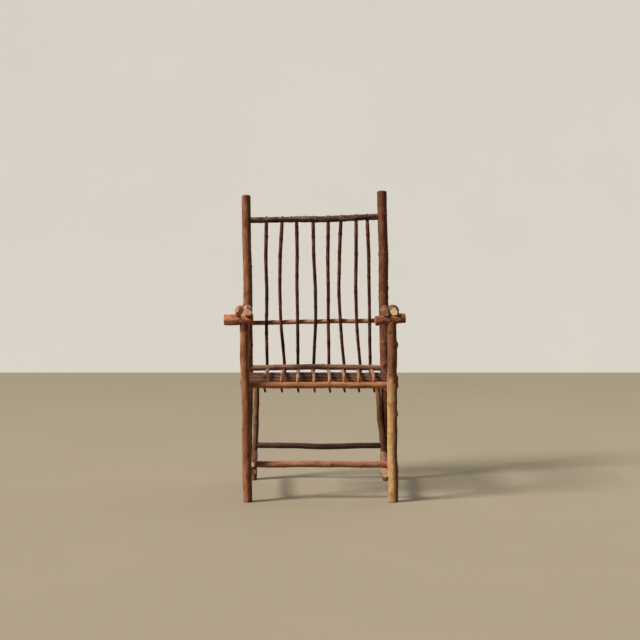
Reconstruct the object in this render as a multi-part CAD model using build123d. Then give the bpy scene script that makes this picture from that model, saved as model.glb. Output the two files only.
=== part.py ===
"""A rustic armchair of round poles, with a seat and back of bent shoots.

Every pole is a centre line with a diameter at each of its points. Where two poles
meet, one of them is cut to the other's own shape plus a small clearance, so each
tenon, lap and saddle follows the sizes below. Millimetres; the sitter looks along -Y
and Z points up. The frame is worked out square, and rack() then gives it the lean
that a chair of green wood dries into.
"""

import os
from math import cos, radians, sin, tan

from build123d import *

os.makedirs("parts", exist_ok=True)

# ---------------------------------------------------------------- the whole frame
lean = -0.0148  # sideways for each millimetre of height
skew = -0.018  # sideways for each millimetre of depth
half_width_front_foot = 232.5
half_width_front_top = 236.0
half_width_post_foot = 258.0
half_width_post_seat = 249.0
half_width_post_top = 252.5
depth_post_foot = 405.0
depth_post_seat = 411.0
depth_post_top = 470.0
seat_bend_height = 400.0  # where the back posts start to lean back
fit = 0.15  # clearance round each tenon, lap and saddle
touch = 0.3  # gap between poles that lie against each other
shoulder_gap = 0.9  # from a whittled cone to the pole that its peg enters
peg_reach = 6.0  # how far a tenon goes past the axis that it enters
whittled_length = 6.0  # the cone between a pole's bark and its tenon
eased_edge = 1.2  # the rounding of a sawn end
gentle_bend = 300.0  # radius of the crooks in a pole
shortest_tangent = 6.0  # a slight crook has a larger radius, so that it takes this much of each run

# ---------------------------------------------------------------- legs and posts
front_leg_foot_dia = {"left": 29.5, "right": 33.0}
front_leg_top_dia = {"left": 27.5, "right": 30.5}
post_foot_dia = 31.0
post_seat_dia = 34.0
post_top_dia = {"left": 32.5, "right": 36.0}
post_height = {"left": 1043.0, "right": 1058.5}
rear_leg_dia = 19.0
# The rear leg stands beside the back post: degrees from straight inwards towards the front
rear_leg_foot_bearing = {"left": 20.0, "right": 55.0}
rear_leg_top_bearing = {"left": 11.0, "right": 15.0}
rear_leg_spread = 5.5  # how much further from the post it stands at its top

# ---------------------------------------------------------------- stretchers
side_stretcher_height = {"left": 96.7, "right": 91.5}
side_stretcher_rise = 4.0
side_stretcher_front_dia = {"left": 20.5, "right": 29.0}
side_stretcher_rear_dia = {"left": 20.0, "right": 24.0}
side_stretcher_lap = {"left": 5.4, "right": 7.3}  # how far it is let onto the front leg
side_stretcher_overhang = 4.0  # in front of the front leg's axis
thin_peg_dia = 11.0
front_stretcher_dia = 20.7
front_stretcher_half = 220.0
front_stretcher_seat = 1.2  # how deep it lies in the side stretchers
back_stretcher_dia = 20.5
back_stretcher_height = 126.0
back_stretcher_sag = 3.0

# ---------------------------------------------------------------- seat frame
side_rail_dia = 24.0
side_rail_front_height = 354.0
side_rail_rear_height = 371.0
side_rail_tail = 6.0  # behind the back post
side_rail_lap = 6.0  # how far it is let onto the post
stout_peg_dia = 14.0
rear_leg_seat = 6.5  # how high the rear leg's saddle grips the side rail
rear_leg_nail_aim = 48.0  # how far down the rear leg's axis its nail would meet it
front_rail_dia = 20.6
front_rail_height = 373.0
front_rail_lap = 5.0  # how far it is let onto the front legs' backs
front_rail_overhang = {"left": 2.5, "right": 5.5}
front_rail_sag = 1.6
cross_rail_depths = [100.0, 200.0, 300.0]
cross_rail_dias = [19.0, 19.5, 20.0]
cross_rail_seat = 1.5  # how deep they lie in the side rails
cross_rail_overhang = 5.0

# ---------------------------------------------------------------- back rails
lower_rail_dia = 20.5
lower_rail_peg_dia = 13.0
lower_rail_height = 406.5
lower_rail_crown = 5.0
middle_rail_dia = 15.6
middle_rail_height = 576.0
middle_rail_rise = 9.6  # from the left end to the right one
top_rail_dia = 21.0
top_rail_drop = 92.25  # below the mean of the posts' tops
top_rail_height = sum(post_height.values()) / 2 - top_rail_drop
top_rail_rise = 13.3
top_rail_sag = 3.0

# ---------------------------------------------------------------- arms
arm_bar_height = 583.7
arm_bar_dia = {"left": 32.0, "right": 30.0}
arm_bar_length = {"left": 92.0, "right": 95.0}
arm_bar_shift = {"left": 17.5, "right": -4.3}  # outwards from the leg's top
arm_bar_tilt = {"left": -2.0, "right": 6.0}  # degrees, up towards the outside
arm_bar_saddle = 8.0  # how far the leg's top comes short of the bar's axis
arm_rod_dia = {
    ("inner", "left"): 28.0,
    ("outer", "left"): 26.0,
    ("inner", "right"): 26.0,
    ("outer", "right"): 30.0,
}
arm_rod_bevel = {  # degrees that the sawn front ends lean back, and turn outwards
    ("inner", "left"): (40.0, 0.0),
    ("outer", "left"): (28.0, 8.0),
    ("inner", "right"): (30.0, -10.0),
    ("outer", "right"): (18.0, -28.0),
}
arm_rod_shift = {"left": 3.0, "right": -6.5}  # the pair's middle, outwards from the leg
arm_rod_seat = 2.0  # how deep the rods lie in the crossbar
arm_rod_overhang = 11.0  # in front of the crossbar's axis
arm_rod_rear_height = 622.0
arm_rod_lap = 2.0  # how far the outer rod is let onto the post
arm_rod_tail = 34.0  # behind the post's axis

# ---------------------------------------------------------------- bent shoots
shoot_top_dia = 13.0
shoot_back_dia = 11.0
shoot_seat_dia = 9.6
shoot_top_peg_dia = 8.5
shoot_front_peg_dia = 7.2
shoot_top_stub = 3.2  # above the top rail
shoot_front_stub = 13.0  # below the front rail
shoot_nose_radius = 15.0  # over the front rail
shoot_nose_rise = 19.2  # from the front rail's top to the axis of the shoots
shoot_crook_inset = 3.0  # by which the bend at the middle rail passes inside its corner
shoot_nose_straight = 2.0  # between that bend and the peg's shoulder
shoot_crook_heights = [820.0, 695.0]
shoot_low_height = 505.0
shoot_hump_depth = 335.0
# One row for each shoot. Its places across the chair are shares of half the width
# between the legs or posts: in the top rail, at its two crooks, at the middle rail,
# low in the back, at its turn, on its hump and in the front rail. The last value is
# how far the hump stands above the last cross rail.
shoot_rows = [
    [-0.706, -0.722, -0.714, -0.722, -0.725, -0.723, -0.705, -0.743, 6.5],
    [-0.476, -0.511, -0.525, -0.514, -0.493, -0.470, -0.480, -0.511, 3.0],
    [-0.262, -0.259, -0.269, -0.268, -0.272, -0.277, -0.267, -0.287, 4.0],
    [-0.018, -0.016, -0.002, -0.008, -0.026, -0.048, -0.070, -0.062, 2.5],
    [0.204, 0.191, 0.190, 0.180, 0.178, 0.173, 0.163, 0.149, 3.5],
    [0.391, 0.356, 0.341, 0.358, 0.375, 0.402, 0.367, 0.349, 3.0],
    [0.615, 0.603, 0.587, 0.594, 0.611, 0.635, 0.588, 0.547, 4.0],
    [0.779, 0.790, 0.784, 0.784, 0.781, 0.785, 0.777, 0.756, 5.5],
]

# ---------------------------------------------------------------- nails
nail_dia = 2.6
nail_head_dia = 6.5
nail_head_height = 1.2
nail_bite = 0.45  # of the second pole's radius, past its axis
nail_clear = 1.5  # between a nail's point and a tenon in the same post

side_sign = {"left": -1, "right": 1}
up = Vector(0, 0, 1)
seam_side = Vector(5, 2, 1)  # turns the round faces' seams away from where poles meet
sticks = {}  # name -> centre line, diameters, bend radii
tools = {}  # name -> the solids that are cut from it
nails = []


def between(low, high, share):
    return low + (high - low) * share


def rack(x, y, z):
    """The place of a square frame's point after the lean and the skew."""
    return Vector(x + lean * z + skew * y, y, z)


def add_stick(name, points, diameters, bends=None):
    """Notes a pole: its centre line, its diameter at each point, its bend radii."""
    sticks[name] = (points, diameters, bends or [gentle_bend] * len(points))
    tools[name] = []


def tapered_run(start, end, start_radius, end_radius, seam):
    """A straight run of a pole, as a cylinder or as a cone, with its seam on a given side."""
    plane = Plane(origin=start, x_dir=seam, z_dir=(end - start).normalized())
    length = (end - start).length
    if abs(start_radius - end_radius) < 1e-6:
        return Solid.make_cylinder(start_radius, length, plane)
    return Solid.make_cone(start_radius, end_radius, length, plane)


def bend_tangents(points, bends):
    """How far before and after each corner its arc starts and ends."""
    wanted = [0.0]
    for a, b, c, bend in zip(points, points[1:], points[2:], bends[1:]):
        half_turn = radians((b - a).get_angle(c - b)) / 2
        bent = half_turn > 5e-5  # otherwise only the taper changes here
        wanted.append(max(bend * tan(half_turn), shortest_tangent) if bent else 0.0)
    wanted.append(0.0)
    tangents = wanted.copy()
    for i in range(len(points) - 1):
        both = wanted[i] + wanted[i + 1]
        room = 0.95 * (points[i + 1] - points[i]).length
        if both > room:
            for j in (i, i + 1):
                tangents[j] = min(tangents[j], wanted[j] * room / both)
    return tangents


def run_parts(name, grow=0.0):
    """A pole's straight tapered runs and the tangent arcs between them.

    The faces' seams are kept in line from each run to the next.
    """
    points, diameters, bends = sticks[name]
    radii = [d / 2 + grow for d in diameters]
    first = points[0] - (points[1] - points[0]).normalized() * grow
    last = points[-1] + (points[-1] - points[-2]).normalized() * grow
    points = [first, *points[1:-1], last]
    tangents = bend_tangents(points, bends)
    start, parts = first, []
    seam = (points[1] - first).cross(seam_side).normalized()
    for i in range(1, len(points) - 1):
        ahead = (points[i] - points[i - 1]).normalized()
        onward = (points[i + 1] - points[i]).normalized()
        entry = points[i] - ahead * tangents[i]
        parts.append(tapered_run(start, entry, radii[i - 1], radii[i], seam))
        start = points[i] + onward * tangents[i]
        if tangents[i]:
            turn = ahead.get_angle(onward)
            normal = ahead.cross(onward).normalized()
            centre = entry + normal.cross(ahead) * (tangents[i] / tan(radians(turn) / 2))
            plane = Plane(origin=entry, x_dir=seam, z_dir=ahead)
            section = Face(Wire.make_circle(radii[i], plane))
            parts.append(Solid.revolve(section, turn, Axis(centre, normal)))
            seam = seam.rotate(Axis((0, 0, 0), normal), turn)
        seam = (seam - onward * seam.dot(onward)).normalized()
    parts.append(tapered_run(start, last, radii[-2], radii[-1], seam))
    return parts


def cut_for(holder, guest):
    """Cuts one pole to the shape of another that enters it, lies in it or laps it."""
    tools[holder] += run_parts(guest, fit)


def radius_near(name, place):
    """A pole's radius at the point of its centre line that is nearest to place."""
    points, diameters, _ = sticks[name]
    found = []
    for i in range(len(points) - 1):
        run = points[i + 1] - points[i]
        share = max(0.0, min(1.0, (place - points[i]).dot(run) / run.dot(run)))
        gap = (points[i] + run * share - place).length
        found.append((gap, between(diameters[i], diameters[i + 1], share) / 2))
    return min(found)[1]


def along_at(name, axis, value):
    """The point of a pole's centre line where its X, Y or Z has a given value."""
    points = sticks[name][0]
    for a, b in zip(points, points[1:]):
        low, high = getattr(a, axis), getattr(b, axis)
        if min(low, high) <= value <= max(low, high):
            return a + (b - a) * ((value - low) / (high - low))
    raise ValueError(f"{name} has no point with {axis} = {value}")


def nail_through(outer, inner, place, direction, gap, past=None):
    """A nail from the outer pole's far side, through its axis at place, into the inner one.

    The inner pole's axis is gap further on, and the point stops past it.
    """
    direction = direction.normalized()
    head_seat = place - direction * radius_near(outer, place)
    if past is None:
        past = radius_near(inner, place + direction * gap) * nail_bite
    shank = radius_near(outer, place) + gap + past
    nails.append(nail_shape(head_seat, direction, shank, 0.0))
    hole = nail_shape(head_seat, direction, shank, fit)
    tools[outer].append(hole)
    tools[inner].append(hole)


def nail_shape(head_seat, direction, shank, grow):
    """A nail, or the hole for its shank with the flat that its head sits on."""
    plane = Plane(origin=head_seat, z_dir=direction)
    head_plane = Plane(origin=head_seat - direction * nail_head_height, z_dir=direction)
    body = Solid.make_cylinder(nail_dia / 2 + grow, shank + grow, plane)
    head = Solid.make_cylinder(nail_head_dia / 2 + grow, nail_head_height + grow, head_plane)
    return body.fuse(head)


def nail_down(upper, lower, place):
    """A nail from above through one pole into the pole that it lies on."""
    upper_radius = radius_near(upper, place)
    gap = upper_radius + radius_near(lower, place - up * upper_radius)
    nail_through(upper, lower, place, -up, gap)


def ease_ends(left, right, diameter):
    """The points and diameters of a pole with two sawn and eased ends."""
    ahead = (right - left).normalized() * eased_edge
    thin = diameter - 2 * eased_edge
    return [left, left + ahead, right - ahead, right], [thin, diameter, diameter, thin]


def plain_rail(name, left, right, diameter, lift=0.0):
    """A rail with two sawn ends and a crook at its middle."""
    points, diameters = ease_ends(left, right, diameter)
    points.insert(2, (left + right) * 0.5 + up * lift)
    diameters.insert(2, diameter)
    add_stick(name, points, diameters)


def pegged_rail(name, axes, holder_radii, diameter, peg_dia, lift=0.0):
    """A rail between two axes, whittled to a peg at each end, with a crook at its middle."""
    left, right = axes
    ahead = (right - left).normalized()
    shoulder_left = left + ahead * (holder_radii[0] + shoulder_gap)
    shoulder_right = right - ahead * (holder_radii[1] + shoulder_gap)
    points = [
        left - ahead * peg_reach,
        shoulder_left,
        shoulder_left + ahead * whittled_length,
        (left + right) * 0.5 + up * lift,
        shoulder_right - ahead * whittled_length,
        shoulder_right,
        right + ahead * peg_reach,
    ]
    add_stick(name, points, [peg_dia] * 2 + [diameter] * 3 + [peg_dia] * 2)


def stand_on_floor(name):
    """Cuts a leg's foot level with the floor."""
    size = 200.0
    foot = sticks[name][0][0]
    tools[name].append(Pos(foot.X, foot.Y, -size / 2) * Box(size, size, size))


def leg_from_floor(name, foot, others, diameters):
    """A leg, started below the floor so that its foot can be cut level."""
    start = foot - (others[0] - foot).normalized() * diameters[0] / 2
    add_stick(name, [start, *others], diameters)
    stand_on_floor(name)


# ---------------------------------------------------------------- legs and posts
def front_leg_x(side, height):
    share = height / (arm_bar_height - arm_bar_saddle)
    return side_sign[side] * between(half_width_front_foot, half_width_front_top, share)


def post_half_width(height):
    """Half the width between the back posts' axes."""
    if height <= seat_bend_height:
        return between(half_width_post_foot, half_width_post_seat, height / seat_bend_height)
    share = (height - seat_bend_height) / (max(post_height.values()) - seat_bend_height)
    return between(half_width_post_seat, half_width_post_top, share)


def post_depth(height):
    """The back posts lean back above the seat."""
    if height <= seat_bend_height:
        return between(depth_post_foot, depth_post_seat, height / seat_bend_height)
    share = (height - seat_bend_height) / (max(post_height.values()) - seat_bend_height)
    return between(depth_post_seat, depth_post_top, share)


def post_point(side, height):
    return rack(side_sign[side] * post_half_width(height), post_depth(height), height)


def rear_leg_point(side, height):
    """The rear leg's axis: it stands against the back post, inside and in front of it."""
    share = height / side_rail_rear_height
    bearing = radians(between(rear_leg_foot_bearing[side], rear_leg_top_bearing[side], share))
    post_dia = between(post_foot_dia, post_seat_dia, height / seat_bend_height)
    gap = (post_dia + rear_leg_dia) / 2 + touch + rear_leg_spread * share
    inwards = -side_sign[side] * gap * cos(bearing)
    return post_point(side, height) + Vector(inwards, -gap * sin(bearing), 0)


def make_front_leg(side):
    """A straight pole from the floor to the saddle under the arm's crossbar."""
    height = arm_bar_height - arm_bar_saddle
    foot, top = rack(front_leg_x(side, 0), 0, 0), rack(front_leg_x(side, height), 0, height)
    diameters = [front_leg_foot_dia[side], front_leg_top_dia[side]]
    leg_from_floor(f"front_leg_{side}", foot, [top], diameters)


def make_back_post(side):
    """The long pole from the floor, bent at the seat, to its sawn top."""
    bend, top = post_point(side, seat_bend_height), post_point(side, post_height[side])
    points = [bend, top - (top - bend).normalized() * eased_edge, top]
    thick = post_top_dia[side]
    diameters = [post_foot_dia, post_seat_dia, thick, thick - 2 * eased_edge]
    leg_from_floor(f"back_post_{side}", post_point(side, 0), points, diameters)


def make_rear_leg(side):
    """The thin pole from the floor to the saddle under the side rail."""
    top = rear_leg_point(side, side_rail_rear_height - side_rail_dia / 2 + rear_leg_seat)
    leg_from_floor(f"rear_leg_{side}", rear_leg_point(side, 0), [top], [rear_leg_dia] * 2)


# ---------------------------------------------------------------- stretchers
def make_side_stretcher(side):
    """Lapped on the front leg's inner face, and pegged into the rear leg."""
    name, leg = f"side_stretcher_{side}", f"front_leg_{side}"
    height = side_stretcher_height[side]
    front, rear = side_stretcher_front_dia[side], side_stretcher_rear_dia[side]
    beside = along_at(leg, "Z", height)
    out = radius_near(leg, beside) + front / 2 - side_stretcher_lap[side]
    lap = beside - Vector(side_sign[side] * out, 0, 0)
    axis = along_at(f"rear_leg_{side}", "Z", height + side_stretcher_rise)
    ahead = (axis - lap).normalized()
    start = lap - ahead * side_stretcher_overhang
    shoulder = axis - ahead * (rear_leg_dia / 2 + shoulder_gap)
    points = [
        start,
        start + ahead * eased_edge,
        shoulder - ahead * whittled_length,
        shoulder,
        axis + ahead * peg_reach,
    ]
    add_stick(name, points, [front - 2 * eased_edge, front, rear, thin_peg_dia, thin_peg_dia])
    cut_for(name, leg)
    cut_for(f"rear_leg_{side}", name)
    nail_through(name, leg, lap, Vector(side_sign[side], 0, 0), out)


def make_front_stretcher():
    """Lies on the side stretchers, just behind the front legs."""
    name, reach = "front_stretcher", max(front_leg_foot_dia.values())
    depth = (reach + front_stretcher_dia) / 2 + touch
    unders = [along_at(f"side_stretcher_{side}", "Y", depth) for side in side_sign]
    ends = []
    for (side, sign), under in zip(side_sign.items(), unders):
        rise = (side_stretcher_front_dia[side] + front_stretcher_dia) / 2
        ends.append(
            rack(sign * front_stretcher_half, depth, under.Z + rise - front_stretcher_seat)
        )
    plain_rail(name, *ends, front_stretcher_dia)
    for side, under in zip(side_sign, unders):
        cut_for(f"side_stretcher_{side}", name)
        nail_down(name, f"side_stretcher_{side}", along_at(name, "X", under.X))


def make_back_stretcher():
    """Pegged between the two rear legs."""
    name = "back_stretcher"
    axes = [along_at(f"rear_leg_{side}", "Z", back_stretcher_height) for side in side_sign]
    radii = [rear_leg_dia / 2] * 2
    pegged_rail(name, axes, radii, back_stretcher_dia, thin_peg_dia, -back_stretcher_sag)
    for side in side_sign:
        cut_for(f"rear_leg_{side}", name)


# ---------------------------------------------------------------- seat frame
def make_side_rail(side):
    """Pegged into the front leg, lapped inside the back post, laid on the rear leg's top."""
    name, leg, post = f"seat_side_rail_{side}", f"front_leg_{side}", f"back_post_{side}"
    axis = along_at(leg, "Z", side_rail_front_height)
    beside = post_point(side, side_rail_rear_height)
    post_radius = radius_near(post, beside)
    inwards = post_radius + side_rail_dia / 2 - side_rail_lap
    ahead = (beside - Vector(side_sign[side] * inwards, 0, 0) - axis).normalized()
    shoulder = axis + ahead * (radius_near(leg, axis) + shoulder_gap)
    depth = beside.Y + post_radius + side_rail_tail
    tail = axis + ahead * (depth / ahead.Y)
    points = [
        axis - ahead * peg_reach,
        shoulder,
        shoulder + ahead * whittled_length,
        tail - ahead * eased_edge,
        tail,
    ]
    full = side_rail_dia
    diameters = [stout_peg_dia, stout_peg_dia, full, full, full - 2 * eased_edge]
    add_stick(name, points, diameters)
    cut_for(leg, name)
    cut_for(f"rear_leg_{side}", name)
    cut_for(name, post)
    lap = along_at(name, "Y", beside.Y)
    place = Vector(beside.X, beside.Y, lap.Z)
    nail_through(post, name, place, lap - place, (lap - place).length)
    rear_leg = f"rear_leg_{side}"
    over = along_at(name, "Y", sticks[rear_leg][0][-1].Y)
    into = along_at(rear_leg, "Z", over.Z - rear_leg_nail_aim)
    nail_through(name, rear_leg, over, into - over, (side_rail_dia + rear_leg_dia) / 2)


def make_front_rail():
    """Let onto the backs of the front legs; the shoots pass down through it."""
    name = "front_seat_rail"
    axes = [along_at(f"front_leg_{side}", "Z", front_rail_height) for side in side_sign]
    radii = [radius_near(f"front_leg_{side}", p) for side, p in zip(side_sign, axes)]
    depth = sum(radii) / 2 + front_rail_dia / 2 - front_rail_lap
    ends = []
    for (side, sign), axis, radius in zip(side_sign.items(), axes, radii):
        out = sign * (radius + front_rail_overhang[side])
        ends.append(Vector(axis.X + out, depth, front_rail_height))
    plain_rail(name, *ends, front_rail_dia, -front_rail_sag)
    for side, axis in zip(side_sign, axes):
        cut_for(name, f"front_leg_{side}")
        cut_for(f"seat_side_rail_{side}", name)
        place = along_at(name, "X", axis.X)
        nail_through(name, f"front_leg_{side}", place, Vector(0, -1, 0), depth)


def make_cross_rail(number, depth, dia):
    """Laid across the side rails, under the shoots."""
    name = f"seat_cross_rail_{number}"
    unders = [along_at(f"seat_side_rail_{side}", "Y", depth) for side in side_sign]
    rise = up * (side_rail_dia / 2 + dia / 2 - cross_rail_seat)
    out = Vector(side_rail_dia / 2 + cross_rail_overhang, 0, 0)
    plain_rail(name, unders[0] + rise - out, unders[1] + rise + out, dia)
    for side, under in zip(side_sign, unders):
        cut_for(f"seat_side_rail_{side}", name)
        nail_down(name, f"seat_side_rail_{side}", under + rise)


# ---------------------------------------------------------------- back rails
def make_back_rail(name, height, rise, diameter, peg_dia, lift=0.0):
    """A rail pegged between the back posts, higher on the right by rise."""
    axes = [post_point(side, height + sign * rise / 2) for side, sign in side_sign.items()]
    radii = [radius_near(f"back_post_{side}", p) for side, p in zip(side_sign, axes)]
    pegged_rail(name, axes, radii, diameter, peg_dia, lift)
    for side in side_sign:
        cut_for(f"back_post_{side}", name)


# ---------------------------------------------------------------- arms
def arm_bar_axis(side, x):
    """The point of a crossbar's tilted axis at a given X."""
    sign = side_sign[side]
    middle = rack(sign * (half_width_front_top + arm_bar_shift[side]), 0, arm_bar_height)
    return Vector(x, 0, middle.Z + (x - middle.X) * sign * tan(radians(arm_bar_tilt[side])))


def make_arm_bar(side):
    """The short crossbar in the saddle of the front leg's top."""
    sign, tilt = side_sign[side], radians(arm_bar_tilt[side])
    middle = rack(sign * (half_width_front_top + arm_bar_shift[side]), 0, arm_bar_height)
    half = Vector(cos(tilt), 0, sign * sin(tilt)) * arm_bar_length[side] / 2
    plain_rail(f"arm_crossbar_{side}", middle - half, middle + half, arm_bar_dia[side])
    cut_for(f"front_leg_{side}", f"arm_crossbar_{side}")


def rod_on_bar(place, side):
    """Where a rod's axis crosses its crossbar; the two rods lie side by side."""
    sign, radius = side_sign[side], arm_rod_dia[place, side] / 2
    pair = sticks[f"front_leg_{side}"][0][-1].X + sign * arm_rod_shift[side]
    way = 1 if place == "outer" else -1
    x = pair + sign * way * (radius + touch)
    tilt = radians(arm_bar_tilt[side])
    rise = arm_bar_dia[side] / 2 / cos(tilt) + radius - arm_rod_seat
    return arm_bar_axis(side, x) + up * rise


def saw_rod_end(name, place, side, over_bar, ahead):
    """Saws a rod's front end on the slant."""
    back, out = (radians(a) for a in arm_rod_bevel[place, side])
    normal = Vector(side_sign[side] * sin(out), -cos(out) * cos(back), cos(out) * sin(back))
    plane = Plane(origin=over_bar - ahead * arm_rod_overhang, z_dir=normal)
    size = 4 * arm_rod_dia[place, side]
    tools[name].append(plane.location * Pos(0, 0, size / 2) * Box(size, size, size))


def make_arm_rods(side):
    """The inner rod is pegged into the back post, the outer one is nailed beside it."""
    sign, bar, post = side_sign[side], f"arm_crossbar_{side}", f"back_post_{side}"
    axis = post_point(side, arm_rod_rear_height)
    post_radius = radius_near(post, axis)
    spare = max(arm_rod_dia.values())  # wood in front of the slanted cut

    name, thick = f"arm_rod_inner_{side}", arm_rod_dia["inner", side]
    over_bar = rod_on_bar("inner", side)
    ahead = (axis - over_bar).normalized()
    shoulder = axis - ahead * (post_radius + shoulder_gap)
    points = [over_bar - ahead * spare, shoulder - ahead * whittled_length, shoulder]
    points.append(axis + ahead * peg_reach)
    add_stick(name, points, [thick, thick, stout_peg_dia, stout_peg_dia])
    saw_rod_end(name, "inner", side, over_bar, ahead)
    cut_for(post, name)

    name, thick = f"arm_rod_outer_{side}", arm_rod_dia["outer", side]
    over_bar = rod_on_bar("outer", side)
    out = Vector(sign * (post_radius + thick / 2 - arm_rod_lap), 0, 0)
    beside = axis + out
    ahead = (beside - over_bar).normalized()
    tail = beside + ahead * arm_rod_tail
    points = [over_bar - ahead * spare, tail - ahead * eased_edge, tail]
    add_stick(name, points, [thick, thick, thick - 2 * eased_edge])
    saw_rod_end(name, "outer", side, over_bar, ahead)
    cut_for(name, post)
    cut_for(f"arm_rod_inner_{side}", name)
    short_of_peg = -stout_peg_dia / 2 - nail_clear
    nail_through(name, post, beside, -out, out.length, short_of_peg)

    for place in ("inner", "outer"):
        cut_for(bar, f"arm_rod_{place}_{side}")
        nail_down(f"arm_rod_{place}_{side}", bar, rod_on_bar(place, side))
    pair = sticks[f"front_leg_{side}"][0][-1].X + sign * arm_rod_shift[side]
    nail_through(bar, f"front_leg_{side}", arm_bar_axis(side, pair), -up, 2 * arm_bar_saddle)


# ---------------------------------------------------------------- bent shoots
def wrap_corner(start, around, radius, end):
    """The corner of a path from start to end whose bend is centred on a point."""
    corner = around + Vector(0, radius, -radius)
    for _ in range(8):
        ahead, onward = (corner - start).normalized(), (end - corner).normalized()
        half_turn = radians(ahead.get_angle(onward)) / 2
        corner = around - (onward - ahead).normalized() * (radius / cos(half_turn))
    return corner


def make_shoot(number, row):
    """A shoot pegged in the top rail, bent under the lower rail, and out through the front one."""
    name = f"bent_shoot_{number}"
    top_share, upper_share, waist_share, middle_share, low_share = row[:5]
    turn_share, hump_share, front_share, hump_rise = row[5:]

    def across(share, depth, height):
        return rack(share * post_half_width(height), depth, height)

    def crossing(rail, share, height):
        return along_at(rail, "X", across(share, post_depth(height), height).X)

    top_rail = crossing("top_back_rail", top_share, top_rail_height)
    middle_rail = crossing("middle_back_rail", middle_share, middle_rail_height)
    lower_rail = crossing("lower_back_rail", turn_share, lower_rail_height)
    front_x = front_share * front_leg_x("right", front_rail_height)
    front_rail = along_at("front_seat_rail", "X", rack(front_x, 0, front_rail_height).X)

    top_shoulder = top_rail - up * (top_rail_dia / 2 + touch)
    passing = (middle_rail_dia + shoot_back_dia) / 2 + touch + shoot_crook_inset
    before_middle = middle_rail - Vector(0, passing, 0)
    crooks = []
    for share, height in zip((upper_share, waist_share), shoot_crook_heights):
        climbed = (height - before_middle.Z) / (top_shoulder.Z - before_middle.Z)
        depth = between(before_middle.Y, top_shoulder.Y, climbed)
        crooks.append(across(share, depth, height))
    last_rail = sticks[f"seat_cross_rail_{len(cross_rail_depths)}"]
    hump_height = last_rail[0][0].Z + (last_rail[1][1] + shoot_seat_dia) / 2 + hump_rise
    hump = across(hump_share, shoot_hump_depth, hump_height)
    behind = lower_rail.Y + (lower_rail_dia + shoot_back_dia) / 2
    climbed = (shoot_low_height - lower_rail.Z) / (before_middle.Z - lower_rail.Z)
    low = across(low_share, between(behind, before_middle.Y, climbed), shoot_low_height)
    turn_dia = (shoot_back_dia + shoot_seat_dia) / 2
    wrap_radius = (lower_rail_dia + turn_dia) / 2 + touch
    turn = wrap_corner(low, lower_rail, wrap_radius, hump)
    nose = front_rail + up * (front_rail_dia / 2 + shoot_nose_rise)
    front_shoulder = front_rail + up * (front_rail_dia / 2 + touch)
    ahead = (crooks[0] - top_shoulder).normalized()
    points = [
        top_shoulder - ahead * (top_rail_dia + touch + shoot_top_stub),
        top_shoulder,
        top_shoulder + ahead * whittled_length,
        *crooks,
        before_middle,
        low,
        turn,
        hump,
        nose,
        front_shoulder + up * shoot_nose_straight,
        front_shoulder,
        front_rail - up * (front_rail_dia / 2 + shoot_front_stub),
    ]
    crook_dias = [between(shoot_top_dia, shoot_back_dia, s) for s in (1 / 3, 2 / 3)]
    diameters = [shoot_top_peg_dia, shoot_top_peg_dia, shoot_top_dia, *crook_dias]
    diameters += [shoot_back_dia, shoot_back_dia, turn_dia]
    diameters += [shoot_seat_dia] * 3 + [shoot_front_peg_dia] * 2
    bends = [gentle_bend] * len(points)
    bends[points.index(turn)] = wrap_radius
    bends[points.index(nose)] = shoot_nose_radius
    add_stick(name, points, diameters, bends)
    cut_for("top_back_rail", name)
    cut_for("front_seat_rail", name)


# ---------------------------------------------------------------- the whole chair
for side in side_sign:
    make_front_leg(side)
    make_back_post(side)
    make_rear_leg(side)
    make_side_stretcher(side)
    make_side_rail(side)
make_front_stretcher()
make_back_stretcher()
make_front_rail()
for i, (depth, dia) in enumerate(zip(cross_rail_depths, cross_rail_dias)):
    make_cross_rail(i + 1, depth, dia)
make_back_rail(
    "lower_back_rail",
    lower_rail_height,
    0,
    lower_rail_dia,
    lower_rail_peg_dia,
    lower_rail_crown,
)
make_back_rail(
    "middle_back_rail", middle_rail_height, middle_rail_rise, middle_rail_dia, thin_peg_dia
)
make_back_rail(
    "top_back_rail", top_rail_height, top_rail_rise, top_rail_dia, stout_peg_dia, -top_rail_sag
)
for side in side_sign:
    make_arm_bar(side)
    make_arm_rods(side)
for i, row in enumerate(shoot_rows):
    make_shoot(i + 1, row)


def meets(a, b):
    """Whether two boxes meet."""
    pairs = [*zip(a.min, b.max), *zip(b.min, a.max)]
    return all(low <= high for low, high in pairs)


def solid_of(name):
    """A pole as one solid, less what it is cut for."""
    parts = run_parts(name)
    whole = parts[0].fuse(*parts[1:]) if len(parts) > 1 else parts[0]
    room = whole.bounding_box()
    near = [tool for tool in tools[name] if meets(room, tool.bounding_box())]
    return whole.cut(*near).clean() if near else whole.clean()


solids = {name: solid_of(name).solids() for name in sticks}
solids["frame_nails"] = nails

# ---------------------------------------------------------------- the part's own frame
box = Compound([s for part in solids.values() for s in part]).bounding_box()
home = Pos(-box.center().X, -box.center().Y, -box.min.Z)
for name, part in solids.items():
    placed = [home * s for s in part]
    export_step(placed[0] if len(placed) == 1 else Compound(placed), f"parts/{name}.step")
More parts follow.
